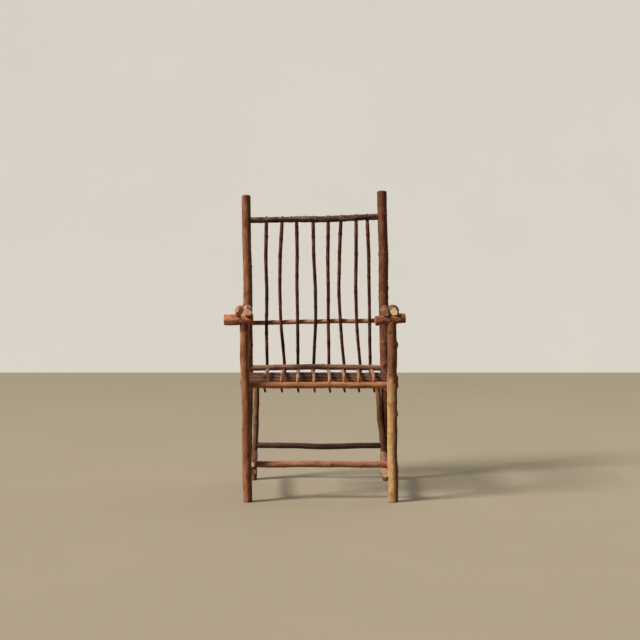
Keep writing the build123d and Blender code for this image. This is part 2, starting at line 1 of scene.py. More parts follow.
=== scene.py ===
import bpy
import numpy as np
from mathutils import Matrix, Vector


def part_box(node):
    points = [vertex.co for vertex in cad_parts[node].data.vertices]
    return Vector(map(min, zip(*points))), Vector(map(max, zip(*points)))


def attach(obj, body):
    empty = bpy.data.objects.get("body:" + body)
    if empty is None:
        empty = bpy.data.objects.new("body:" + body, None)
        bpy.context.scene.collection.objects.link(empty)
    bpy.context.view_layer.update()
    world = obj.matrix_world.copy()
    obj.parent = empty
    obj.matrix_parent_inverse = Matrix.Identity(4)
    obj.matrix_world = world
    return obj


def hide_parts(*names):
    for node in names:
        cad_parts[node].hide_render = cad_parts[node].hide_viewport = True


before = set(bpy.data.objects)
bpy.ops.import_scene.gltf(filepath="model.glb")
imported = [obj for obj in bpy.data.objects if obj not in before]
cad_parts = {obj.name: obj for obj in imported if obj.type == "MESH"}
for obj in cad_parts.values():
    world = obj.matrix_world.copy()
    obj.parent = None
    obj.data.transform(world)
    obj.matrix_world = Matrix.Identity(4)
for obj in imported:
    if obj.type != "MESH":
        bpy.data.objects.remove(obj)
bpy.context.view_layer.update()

print("stage: the frame is loaded")

sides = {"left": -1.0, "right": 1.0}
up = np.array([0.0, 0.0, 1.0])
down = -up
alongX, alongY, alongZ = 0, 1, 2


# Where the CAD poles lie

askew = [0.31, 0.52, 0.79]  # a direction that no pole takes, to turn two directions of a plane from


def unit(v):
    return v / np.linalg.norm(v)


def towards(*way):
    return unit(np.array(way, float))


def newObject(name, data):
    thing = bpy.data.objects.new(name, data)
    bpy.context.collection.objects.link(thing)
    return thing


def wireOf(node):
    # the edges of a node's mesh, as the arrays of their two ends
    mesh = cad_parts[node].data
    places = np.empty(len(mesh.vertices) * 3, np.float32)
    mesh.vertices.foreach_get("co", places)
    places = places.reshape(-1, 3).astype(float)
    ends = np.empty(len(mesh.edges) * 2, np.int32)
    mesh.edges.foreach_get("vertices", ends)
    ends = ends.reshape(-1, 2)
    return places[ends[:, 0]], places[ends[:, 1]]


def ringAt(wire, point, normal, near=None, reach=0.03):
    # the circle that a plane cuts from a pole: where edges cross the plane, and the circle that fits
    # those crossings best, from |p|^2 = 2 p.centre + rest
    start, end = wire
    ahead, behind = (start - point) @ normal, (end - point) @ normal
    hit = ahead * behind < 0
    share = ahead[hit] / (ahead[hit] - behind[hit])
    cut = start[hit] + (end[hit] - start[hit]) * share[:, None]
    if near is not None:
        cut = cut[np.linalg.norm(cut - near, axis=1) < reach]
    across = unit(np.cross(normal, askew))
    along = np.cross(normal, across)
    flat = np.stack([(cut - point) @ across, (cut - point) @ along], 1)
    system = np.column_stack([2 * flat, np.ones(len(flat))])
    x, y, rest = np.linalg.lstsq(system, (flat ** 2).sum(1), rcond=None)[0]
    return point + across * x + along * y, np.sqrt(rest + x * x + y * y)


def poleLine(node, axis, cuts):
    # a pole's centre line through circles cut square to an axis, at the places along it that cuts gives,
    # and carried on straight to its box's ends
    wire = wireOf(node)
    low, high = (np.array(corner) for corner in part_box(node))
    normal = np.eye(3)[axis]
    rings = []
    for value in cuts:
        point = (low + high) / 2
        point[axis] = value
        rings.append(ringAt(wire, point, normal))
    places = np.array([place for place, _ in rings])
    radii = np.array([radius for _, radius in rings])
    toFirst, toLast = places[0] - places[1], places[-1] - places[-2]
    first = places[0] + toFirst * (low[axis] - places[0][axis]) / toFirst[axis]
    last = places[-1] + toLast * (high[axis] - places[-1][axis]) / toLast[axis]
    return np.vstack([first, places, last]), np.concatenate([radii[:1], radii, radii[-1:]])


# Branches

branchLook = {
    "ringStep": 0.0028,      # between one ring of vertices and the next
    "around": 36,            # vertices in a ring
    "sway": 0.0016,          # how far a pole wanders from its line
    "held": 0.22,            # share of the length over which the sway grows from nought at each end
    "swell": 0.035,          # slow change of thickness, as a share of the radius
    "swellRun": 0.16,        # along which the slowest swelling turns by one radian
    "ridge": 0.016,          # long ridges of the bark, as a share of the radius
    "grit": 0.009,           # small bumps of the bark
    "nodeEvery": 0.085,      # between growth joints, where buds sat
    "nodeRise": 0.045,       # the swelling at a growth joint
    "nodeLong": 0.0065,      # and half its length
    "nodeClear": 0.02,       # the last growth joint is further than this from the pole's end
    "budRise": 0.10,         # the bud scar on a growth joint, as a share of the radius
    "budLong": 0.0042,       # half its length
    "budWide": 0.42,         # half its width, in radians round the pole
    "budTurn": 2.4,          # radians from one bud to the next
    "whittle": (0.0, 0.0),   # length of the cut cone at each end
    "peg": 0.6,              # the peg's share of the radius
    "edge": 0.0013,          # worn edge of a sawn end
    "sag": (0.0, 0.0),       # how far the end faces bulge
    "girth": 1.0,            # thickness beside the CAD pole's
    "bareTowards": None,     # the side that is peeled, if only one is; on the right leg it faces the light, so the peel is partly painted light and shade
    "sawReach": 0.034,       # how far from a slanting end the rings lean with it
    "capShares": (0.93, 0.78, 0.6, 0.42, 0.24, 0.08),  # the end faces' rings, as shares of the radius
    "grainShift": 4.0,       # by which each pole's grain is moved at random, so that no two are alike
}
reliefLook = {  # rates are in radians for each metre of the pole
    "ridges": (2, 3, 5, 7, 9, 11),  # how often each ridge comes round the pole
    "drift": 22,                    # the fastest that a ridge winds round
    "comeAndGo": (20, 60),          # rates at which ridges fade and return
    "bumps": 9,
    "bumpsAround": (3, 13),
    "bumpRates": (90, 480),
}
swayWaves = (1.3, 2.4, 4.3)        # in a pole's length
swellRates = (1.0, 1.9, 3.1, 7.3)  # beside the slowest one
anyPhase = (0, 6.3)                # the range of a random phase, about one turn
spanSteps = 40                     # between two points of a line, before it is evened out
fewestRings = 8
uprightRise = 0.3                  # a pole that rises more has its knots placed by their height
firstSide = [0.13, 0.97, 0.21]     # the direction that the first ring's sides are turned from


def smoothLine(places, radii, step):
    # a smooth curve through the points, (2t3-3t2+1)a + (t3-2t2+t)m + (3t2-2t3)b + (t3-t2)n between two
    # points a and b with the mean directions m and n there, then evened out to equal steps
    padded = np.vstack([2 * places[0] - places[1], places, 2 * places[-1] - places[-2]])
    t = np.linspace(0, 1, spanSteps, endpoint=False)[:, None]
    before, start, end, after = (padded[i:len(padded) - 3 + i, None, :] for i in range(4))
    gap = np.linalg.norm(end - start, axis=2, keepdims=True)
    gapBefore = np.linalg.norm(start - before, axis=2, keepdims=True)
    gapAfter = np.linalg.norm(after - end, axis=2, keepdims=True)
    leave = ((end - start) / gap + (start - before) / gapBefore) / 2 * gap
    arrive = ((after - end) / gapAfter + (end - start) / gap) / 2 * gap
    curve = ((2 * t ** 3 - 3 * t ** 2 + 1) * start + (t ** 3 - 2 * t ** 2 + t) * leave
             + (3 * t ** 2 - 2 * t ** 3) * end + (t ** 3 - t ** 2) * arrive)
    thick = radii[:-1, None] * (1 - t.T) + radii[1:, None] * t.T
    curve = np.vstack([curve.reshape(-1, 3), places[-1:]])
    thick = np.append(thick.ravel(), radii[-1])
    run = np.concatenate([[0], np.cumsum(np.linalg.norm(np.diff(curve, axis=0), axis=1))])
    even = np.linspace(0, run[-1], max(fewestRings, int(round(run[-1] / step))) + 1)
    line = np.stack([np.interp(even, run, curve[:, i]) for i in range(3)], 1)
    return line, np.interp(even, run, thick), even


def sidesOf(line):
    # two directions square to a line; each step takes the last one less its part along the line
    ahead = np.gradient(line, axis=0)
    ahead /= np.linalg.norm(ahead, axis=1)[:, None]
    side = np.empty_like(ahead)
    side[0] = unit(np.cross(ahead[0], firstSide))
    for i in range(1, len(ahead)):
        side[i] = unit(side[i - 1] - ahead[i] * (side[i - 1] @ ahead[i]))
    return ahead, side, np.cross(ahead, side)


def growth(along, angle, seed, long, fine):
    # bark relief: cosines of whole multiples of the angle with drifting phases, so it closes round the
    # pole; the ridges are long / order^0.6 high and come and go, and the bumps are as high as fine
    rng = np.random.default_rng(seed)
    relief = np.zeros(np.broadcast(along, angle).shape)
    for order in reliefLook["ridges"]:
        drift = rng.uniform(-reliefLook["drift"], reliefLook["drift"])
        ridge = long / order ** 0.6 * np.cos(order * angle + drift * along + rng.uniform(*anyPhase))
        rate = rng.uniform(*reliefLook["comeAndGo"])
        relief += ridge * (0.6 + 0.4 * np.cos(rate * along + rng.uniform(*anyPhase)))
    for _ in range(reliefLook["bumps"]):
        order, rate = rng.integers(*reliefLook["bumpsAround"]), rng.uniform(*reliefLook["bumpRates"])
        bump = fine * np.cos(order * angle + rng.uniform(*anyPhase))
        relief += bump * np.cos(rate * along + rng.uniform(*anyPhase))
    return relief


def turnFrom(angle, facing):
    # the angle from a facing, between minus and plus half a turn
    return (angle - facing + np.pi) % (2 * np.pi) - np.pi


class Pole:
    # a pole as it grows; its arrays have a row for each ring and a column for each vertex of a ring, and
    # the row -end is the first ring for end 0 and the last one for end 1
    def __init__(self, places, radii, seed, look):
        self.look, self.seed, self.rng = look, seed, np.random.default_rng(seed)
        places, radii = np.asarray(places, float), np.asarray(radii, float)
        self.line, self.thick, self.run = smoothLine(places, radii, look["ringStep"])
        self.length = self.run[-1]
        self.gaps = (self.run, self.length - self.run)
        self.ahead, self.side, self.other = sidesOf(self.line)
        free = np.clip(np.minimum(*self.gaps) / (look["held"] * self.length), 0, 1)
        self.free = free * free * (3 - 2 * free)

    def wander(self):
        # the line is pushed both ways by sines as high as sway / waves^0.7 where the pole is free
        for direction in (self.side, self.other):
            for waves in swayWaves:
                phase = self.rng.uniform(*anyPhase)
                push = self.look["sway"] / waves ** 0.7 * np.sin(
                    waves * np.pi * self.run / self.length * 2 + phase)
                self.line = self.line + direction * (push * self.free)[:, None]

    def thicken(self):
        # the radius times one plus swell times the mean of four cosines, which is weaker at the ends, times
        # 1 + nodeRise exp(-(gap / nodeLong)^2) at each growth joint, times a cone at each whittled end; the
        # joints are 0.75 to 1.25 of nodeEvery apart
        look, run = self.look, self.run
        slow = sum(np.cos(rate * run / look["swellRun"] + self.rng.uniform(*anyPhase))
                   for rate in swellRates) / len(swellRates)
        self.thick = self.thick * look["girth"] * (1 + look["swell"] * slow * (0.3 + 0.7 * self.free))
        spaces = self.rng.uniform(0.75, 1.25, int(self.length / look["nodeEvery"]) + 3)
        joints = np.cumsum(spaces * look["nodeEvery"])
        self.joints = joints[joints < self.length - look["nodeClear"]]
        for at in self.joints:
            self.thick = self.thick * (1 + look["nodeRise"] * np.exp(-((run - at) / look["nodeLong"]) ** 2))
        for reach, gap in zip(look["whittle"], self.gaps):
            if reach:
                cone = np.clip(gap / reach, 0, 1) ** 0.6
                self.thick = self.thick * (look["peg"] + (1 - look["peg"]) * cone)

    def growBark(self):
        # each point's radius, as a share: one plus its relief, plus a scar on one side of each growth
        # joint, budRise exp(-(gap / budLong)^2 - (turn / budWide)^2)
        look = self.look
        self.angle = np.linspace(0, 2 * np.pi, look["around"], endpoint=False)[None, :]
        self.along = self.run[:, None]
        self.scale = 1 + growth(self.along, self.angle, self.seed, look["ridge"], look["grit"])
        self.bud = np.zeros_like(self.scale)
        for number, at in enumerate(self.joints):
            turn = turnFrom(self.angle, number * look["budTurn"] + self.seed)
            bud = np.exp(-((self.along - at) / look["budLong"]) ** 2 - (turn / look["budWide"]) ** 2)
            self.scale = self.scale + look["budRise"] * bud
            self.bud = np.maximum(self.bud, bud)

    def addKnots(self, knots):
        # a knot rises by rise (near - 0.3 near^6), which dimples its top, where near is
        # exp(-(distance / size)^2.6); a rise below nought makes a hollow, and one of nought only darkens the
        # bark; some knots' darkness is painted shade rather than a knot's own
        upright = self.line[-1, 2] - self.line[0, 2] > uprightRise
        thick = self.thick[:, None]
        for at, way, rise, size, dark in knots:
            at = np.interp(at, self.line[:, 2], self.run) if upright else at
            facing = np.arctan2(self.other @ way, self.side @ way)[:, None]
            turn = turnFrom(self.angle, facing)
            near = np.exp(-(((self.along - at) / size) ** 2 + (turn * thick / size) ** 2) ** 1.3)
            self.scale = self.scale + rise / thick * (near - 0.3 * near ** 6)
            self.bud = np.maximum(self.bud, near * dark)

    def shapeSides(self):
        # rings round the line, with a worn edge that takes edge (1 - gap / (1.5 edge))^2 off the ends
        edge = self.look["edge"]
        thick = self.thick[:, None]
        self.radius = thick * self.scale
        for gap in self.gaps:
            self.radius = self.radius - (edge * np.clip(1 - gap / (1.5 * edge), 0, 1) ** 2)[:, None]
        cosine, sine = np.cos(self.angle), np.sin(self.angle)
        self.spread = cosine[..., None] * self.side[:, None, :] + sine[..., None] * self.other[:, None, :]
        self.body = self.line[:, None, :] + self.spread * self.radius[..., None]
        along = np.broadcast_to(self.along, self.radius.shape)
        self.grain = np.stack([cosine * thick, sine * thick, along], 2)

    def peelBark(self, fade):
        # how bare each point is: the product of a curve of stops along each axis, and of
        # 0.75 + 0.75 cosine of the angle from the peeled side, if only one side is peeled; where that side
        # faces the light, the pale bare side and the dark bark opposite are partly painted light and shade
        self.fade = np.ones_like(self.radius) if fade else np.zeros_like(self.radius)
        for axis, stops in fade:
            self.fade = self.fade * np.interp(self.line[:, axis], *zip(*stops))[:, None]
        if self.look["bareTowards"] is not None:
            self.fade = self.fade * np.clip(0.75 + 0.75 * (self.spread @ self.look["bareTowards"]), 0, 1)

    def sawEnds(self, faces):
        # near an end the rings slide along the pole, until the last one lies on the saw's plane
        for end, face in enumerate(faces):
            if face is not None:
                point, normal = face
                reach = np.clip(1 - self.gaps[end] / self.look["sawReach"], 0, 1)[:, None]
                way = self.ahead[-end]
                past = ((self.body[-end] - point) @ normal) / (way @ normal)
                self.body = self.body - way * (past[None, :] * reach)[..., None]

    def endFace(self, end):
        # the last ring drawn in about its centre to each share s, and lifted by sag (1 - s^2)
        shares = np.array(self.look["capShares"])[:, None, None]
        centre = self.body[-end].mean(0)
        bulge = self.ahead[-end] * (-1 if end == 0 else 1) * self.look["sag"][end]
        rings = centre + (self.body[-end] - centre)[None] * shares + bulge * (1 - shares ** 2)
        grain = self.grain[-end][None] * np.array([1, 1, 0]) * shares + np.array([0, 0, self.run[-end]])
        return rings, grain, self.radius[-end][None] * shares[..., 0], centre + bulge

    def toMesh(self, name):
        # one grid of rings from the middle of one end face to the middle of the other, with a fan of
        # triangles to close each, and the arrays that the wood reads
        first, last = self.endFace(0), self.endFace(1)
        rows, grains, pith = (np.concatenate([first[part][::-1], own, last[part]])
                              for part, own in enumerate((self.body, self.grain, self.radius)))
        places = np.vstack([rows.reshape(-1, 3), first[3], last[3]])
        shift = self.rng.uniform(-self.look["grainShift"], self.look["grainShift"], 3)
        grains = np.vstack([grains.reshape(-1, 3), [0, 0, 0], [0, 0, self.length]]) + shift
        face = np.zeros(first[0].shape[:2])
        masks = {  # each with its value at the two middles
            "cut": (np.concatenate([face + 1, np.zeros_like(self.radius), face + 1]), 1),
            "pith": (pith, 0),
            # bud: bud scars' and knots' darkness, which on some knots is painted shade
            "bud": (np.concatenate([face, self.bud, face]), 0),
            "fade": (np.concatenate([face, self.fade, face]), 0),
        }
        count, around = rows.shape[:2]
        i, j = np.meshgrid(np.arange(count - 1), np.arange(around), indexing="ij")
        k = (j + 1) % around
        quads = np.stack([i * around + j, i * around + k, (i + 1) * around + k, (i + 1) * around + j], 2)
        ring = np.arange(around)
        following = (ring + 1) % around
        base = (count - 1) * around
        bottom = np.stack([following, ring, np.full(around, count * around)], 1)
        top = np.stack([base + ring, base + following, np.full(around, count * around + 1)], 1)
        mesh = bpy.data.meshes.new(name)
        mesh.from_pydata(places.tolist(), [],
                         quads.reshape(-1, 4).tolist() + bottom.tolist() + top.tolist())
        mesh.polygons.foreach_set("use_smooth", np.ones(len(mesh.polygons), bool))
        mesh.attributes.new("grain", "FLOAT_VECTOR", "POINT").data.foreach_set(
            "vector", grains.astype(np.float32).ravel())
        for label, (values, middle) in masks.items():
            values = np.append(values.ravel(), [middle, middle]).astype(np.float32)
            mesh.attributes.new(label, "FLOAT", "POINT").data.foreach_set("value", values)
        mesh.validate()
        return mesh


def branch(name, node, material, slot, places, radii, seed, knots=(), faces=(None, None), fade=(), **changes):
    # a pole grown along a line, in place of a CAD node: at each step a ring whose radius is the pole's
    # own, times its swellings, its growth joints, its bark and its knots, between two sawn ends
    pole = Pole(places, radii, seed, {**branchLook, **changes})
    pole.wander()
    pole.thicken()
    pole.growBark()
    pole.addKnots(knots)
    pole.shapeSides()
    pole.peelBark(fade)
    pole.sawEnds(faces)
    piece = newObject(name, pole.toMesh(name))
    piece.data.materials.append(material)
    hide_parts(node)
    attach(piece, "root")


def knot(place, way, rise, size, dark=0.9):
    # its place along the pole, or its height on an upright one, the direction that it faces, its rise, its
    # size and how dark it is
    return place, towards(*way), rise, size, dark


# Shared effects, as node groups

def newGroup(name, inputs, outputs):
    group = bpy.data.node_groups.new(name, "ShaderNodeTree")
    for label, kind, value in inputs:
        socket = group.interface.new_socket(label, in_out="INPUT", socket_type=kind)
        if value is not None:
            socket.default_value = value
    for label, kind in outputs:
        group.interface.new_socket(label, in_out="OUTPUT", socket_type=kind)
    return group, group.nodes.new("NodeGroupInput"), group.nodes.new("NodeGroupOutput")


def wireUp(tree):
    # a short form for a node tree: adds a node with its settings, and links or sets its inputs
    def add(kind, values=None, **settings):
        node = tree.nodes.new(kind)
        for key, value in settings.items():
            setattr(node, key, value)
        for key, value in (values or {}).items():
            if isinstance(value, bpy.types.NodeSocket):
                tree.links.new(value, node.inputs[key])
            else:
                node.inputs[key].default_value = value
        return node
    return add


def newMaterial(name):
    material = bpy.data.materials.new(name)
    material.use_nodes = True
    tree = material.node_tree
    return material, tree, wireUp(tree), tree.nodes["Principled BSDF"]


def mixColour(add, share, first, second):
    # first where the share is nought, second where it is one
    return add("ShaderNodeMix", {0: share, 6: first, 7: second}, data_type="RGBA").outputs[2]


def mixValue(add, share, first, second):
    # first where the share is nought, second where it is one
    return add("ShaderNodeMix", {0: share, 2: first, 3: second}).outputs[0]


def maths(add, operation, first, second=0.0, clamp=False):
    return add("ShaderNodeMath", {0: first, 1: second}, operation=operation, use_clamp=clamp).outputs[0]


def times(add, first, second):
    return maths(add, "MULTIPLY", first, second)


def plus(add, first, second):
    return maths(add, "ADD", first, second)


def layer(add, colour, mask, most, over):
    # another colour laid over the first: all of it where mask times most is one
    return mixColour(add, times(add, mask, most), colour, over)


def ramp(add, value, low, high):
    # nought below low, one above high, straight between
    return add("ShaderNodeMapRange", {0: value, 1: low, 2: high, 3: 0.0, 4: 1.0}, clamp=True).outputs[0]


def stretched(add, vector, scale):
    return add("ShaderNodeVectorMath", {0: vector, 1: scale}, operation="MULTIPLY").outputs[0]


def scaled(add, vector, scale):
    return add("ShaderNodeVectorMath", {0: vector, 3: scale}, operation="SCALE").outputs[0]


def noise(add, vector, scale, detail, roughness=0.6, distortion=0.0):
    return add("ShaderNodeTexNoise", {"Vector": vector, "Scale": scale, "Detail": detail,
                                      "Roughness": roughness, "Distortion": distortion}).outputs[0]


barkNoise = {  # how each is stretched, then its scale, detail, roughness and distortion
    "streaks": ((1, 1, 0.07), 260.0, 5.0, 0.62),
    "fibre": ((1, 1, 0.1), 900.0, 3.0),
    "patches": ((1, 1, 0.45), 42.0, 4.0, 0.6, 0.5),
    "flecks": ((1, 1, 0.6), 190.0, 4.0, 0.7),
}
barkPores = {"stretch": (0.45, 0.45, 1.6), "scale": 230.0}
barkHeight = {"streaks": 0.9, "fibre": 0.35, "flecks": 0.5, "pores": 0.5}
barkRough = {"least": 0.40, "flecks": 0.35, "patches": 0.08}


def makeBarkGroup():
    # bark: long streaks, mottled patches, short cross pores and fine fibre, over three tones
    group, inside, outside = newGroup(
        "barkSkin",
        [("Grain", "NodeSocketVector", None), ("Bud", "NodeSocketFloat", 0.0),
         ("Base", "NodeSocketColor", (0.3, 0.15, 0.08, 1)), ("Dark", "NodeSocketColor", (0.1, 0.05, 0.03, 1)),
         ("Pale", "NodeSocketColor", (0.5, 0.3, 0.18, 1)), ("Streaks", "NodeSocketFloat", 0.5),
         ("Patches", "NodeSocketFloat", 0.5), ("Pores", "NodeSocketFloat", 0.5),
         ("Size", "NodeSocketFloat", 1.0)],
        [("Colour", "NodeSocketColor"), ("Height", "NodeSocketFloat"), ("Rough", "NodeSocketFloat")])
    add = wireUp(group)
    pick = inside.outputs
    grain = scaled(add, pick["Grain"], pick["Size"])
    streaks, fibre, patches, flecks = (noise(add, stretched(add, grain, stretch), *rest)
                                       for stretch, *rest in barkNoise.values())
    pores = add("ShaderNodeTexVoronoi", {"Vector": stretched(add, grain, barkPores["stretch"]),
                                         "Scale": barkPores["scale"]}).outputs[0]

    def mask(value, low, high, amount):
        # nought where the value is low, the whole amount where it is high
        return maths(add, "MULTIPLY", ramp(add, value, low, high), pick[amount], True)

    poreSpot = mask(pores, 0.24, 0.1, "Pores")
    palePatch = mask(patches, 0.5, 0.6, "Patches")
    colour = layer(add, pick["Base"], mask(streaks, 0.48, 0.64, "Streaks"), 0.8, pick["Dark"])
    colour = layer(add, colour, mask(streaks, 0.45, 0.32, "Streaks"), 0.6, pick["Pale"])
    colour = layer(add, colour, palePatch, 0.75, pick["Pale"])
    colour = layer(add, colour, mask(patches, 0.46, 0.36, "Patches"), 0.6, pick["Dark"])
    colour = scaled(add, colour, plus(add, times(add, flecks, 0.7), 0.67))
    colour = layer(add, colour, poreSpot, 0.5, pick["Dark"])
    # darker by the bud mask: bud scars and knots, and painted shade where knots stand for shadows
    colour = layer(add, colour, ramp(add, pick["Bud"], 0.35, 0.95), 0.7, pick["Dark"])
    height = plus(add, times(add, streaks, barkHeight["streaks"]), times(add, fibre, barkHeight["fibre"]))
    height = plus(add, height, times(add, flecks, barkHeight["flecks"]))
    height = maths(add, "SUBTRACT", height, times(add, poreSpot, barkHeight["pores"]))
    rough = plus(add, times(add, flecks, barkRough["flecks"]), barkRough["least"])
    rough = maths(add, "ADD", rough, times(add, palePatch, barkRough["patches"]), True)
    for label, value in (("Colour", colour), ("Height", height), ("Rough", rough)):
        group.links.new(value, outside.inputs[label])
    return group


endNoise = {"drift": (150.0, 2.0), "specks": (900.0, 3.0), "clouds": (120.0, 3.0)}  # scale and detail
endLook = {
    "drift": 0.0022,            # how far a ring wanders from its circle
    "cracks": 75.0,             # the cracks' scale
    "crackWide": 0.035,         # as a share of the space between cracks
    "crackTone": (0.07, 0.035, 0.02, 1),
    "core": (0.0022, 0.0008),   # radii at which the pith's stain starts and is full
}


def makeEndGrainGroup():
    # sawn wood: yearly rings about the pith, the sine of a turn for each ring, with specks, clouds and cracks
    group, inside, outside = newGroup(
        "endGrain",
        [("Grain", "NodeSocketVector", None), ("Pith", "NodeSocketFloat", 0.0),
         ("Wood", "NodeSocketColor", (0.6, 0.42, 0.22, 1)),
         ("Ring", "NodeSocketColor", (0.34, 0.18, 0.08, 1)), ("Every", "NodeSocketFloat", 0.0021)],
        [("Colour", "NodeSocketColor"), ("Height", "NodeSocketFloat")])
    add = wireUp(group)
    pick = inside.outputs
    drift, specks, clouds = (noise(add, pick["Grain"], *rest) for rest in endNoise.values())
    distance = plus(add, pick["Pith"], times(add, drift, endLook["drift"]))
    wave = maths(add, "SINE", maths(add, "DIVIDE", times(add, distance, 6.2832), pick["Every"]))
    band = ramp(add, wave, 0.1, 1.0)
    crack = add("ShaderNodeTexVoronoi", {"Vector": pick["Grain"], "Scale": endLook["cracks"]},
                feature="DISTANCE_TO_EDGE").outputs[0]
    crackLine = ramp(add, crack, endLook["crackWide"], 0.0)
    colour = layer(add, pick["Wood"], band, 0.35, pick["Ring"])
    colour = layer(add, colour, ramp(add, specks, 0.5, 0.7), 0.3, pick["Ring"])
    colour = layer(add, colour, ramp(add, clouds, 0.48, 0.66), 0.6, pick["Ring"])
    colour = layer(add, colour, crackLine, 0.7, endLook["crackTone"])
    colour = layer(add, colour, ramp(add, pick["Pith"], *endLook["core"]), 0.8, pick["Ring"])
    height = maths(add, "SUBTRACT", times(add, band, 0.4), crackLine)
    group.links.new(colour, outside.inputs["Colour"])
    group.links.new(height, outside.inputs["Height"])
    return group


barkSkin = makeBarkGroup()
endGrain = makeEndGrainGroup()


def srgb(red, green, blue):
    # written as the eye sees it, kept as light
    values = np.array([red, green, blue]) / 255
    linear = np.where(values <= 0.04045, values / 12.92, ((values + 0.055) / 1.055) ** 2.4)
    return (*linear.tolist(), 1.0)


peelTear = {"stretch": (1, 1, 0.3), "noise": (75.0, 5.0, 0.65, 0.6), "from": 0.92, "to": 1.12, "depth": 0.5}
woodLook = {"cutFrom": 0.45, "cutTo": 0.75, "cutRough": 0.85, "relief": 0.0012}


def woodMaterial(name, look):
    # bark on the sides, a second set of tones where it has been peeled, and end grain on the cuts
    material, tree, add, shader = newMaterial(name)
    grain = add("ShaderNodeAttribute", attribute_name="grain").outputs["Vector"]
    cut, pith, bud, fade = (add("ShaderNodeAttribute", attribute_name=label).outputs["Fac"]
                            for label in ("cut", "pith", "bud", "fade"))
    bark = add("ShaderNodeGroup", {"Grain": grain, "Bud": bud}, node_tree=barkSkin)
    ends = add("ShaderNodeGroup", {"Grain": grain, "Pith": pith}, node_tree=endGrain)
    for label in ("Base", "Dark", "Pale"):
        bark.inputs[label].default_value = srgb(*look[label.lower()])
    for label in ("Streaks", "Patches", "Pores", "Size"):
        bark.inputs[label].default_value = look[label.lower()]
    height = bark.outputs["Height"]
    if "under" in look:
        tear = noise(add, stretched(add, grain, peelTear["stretch"]), *peelTear["noise"])
        bare = ramp(add, plus(add, times(add, tear, 0.9), fade), peelTear["from"], peelTear["to"])
        for label in ("Base", "Dark", "Pale"):
            tone = mixColour(add, bare, srgb(*look[label.lower()]), srgb(*look["under"][label.lower()]))
            tree.links.new(tone, bark.inputs[label])
        height = maths(add, "SUBTRACT", height, times(add, bare, peelTear["depth"]))
    ends.inputs["Wood"].default_value = srgb(*look["wood"])
    ends.inputs["Ring"].default_value = srgb(*look["ring"])
    face = ramp(add, cut, woodLook["cutFrom"], woodLook["cutTo"])
    colour = mixColour(add, face, bark.outputs["Colour"], ends.outputs["Colour"])
    tree.links.new(colour, shader.inputs["Base Color"])
    rough = mixValue(add, face, bark.outputs["Rough"], woodLook["cutRough"])
    tree.links.new(rough, shader.inputs["Roughness"])
    relief = mixValue(add, face, height, ends.outputs["Height"])
    bump = add("ShaderNodeBump", {"Height": relief, "Strength": look["bump"], "Distance": woodLook["relief"]})
    tree.links.new(bump.outputs[0], shader.inputs["Normal"])
    shader.inputs["Specular IOR Level"].default_value = look["gloss"]
    return material


plainWood = dict(streaks=0.5, patches=0.5, pores=0.5, size=1.0, bump=0.8, gloss=0.12,
                 wood=(206, 168, 126), ring=(146, 98, 64))
armWood = dict(plainWood, patches=0.85, pores=0.7, size=1.25, bump=0.75,
               wood=(212, 168, 126), ring=(164, 106, 72))


def wood(base, dark, pale, kind=plainWood, **more):
    return dict(kind, base=base, dark=dark, pale=pale, **more)


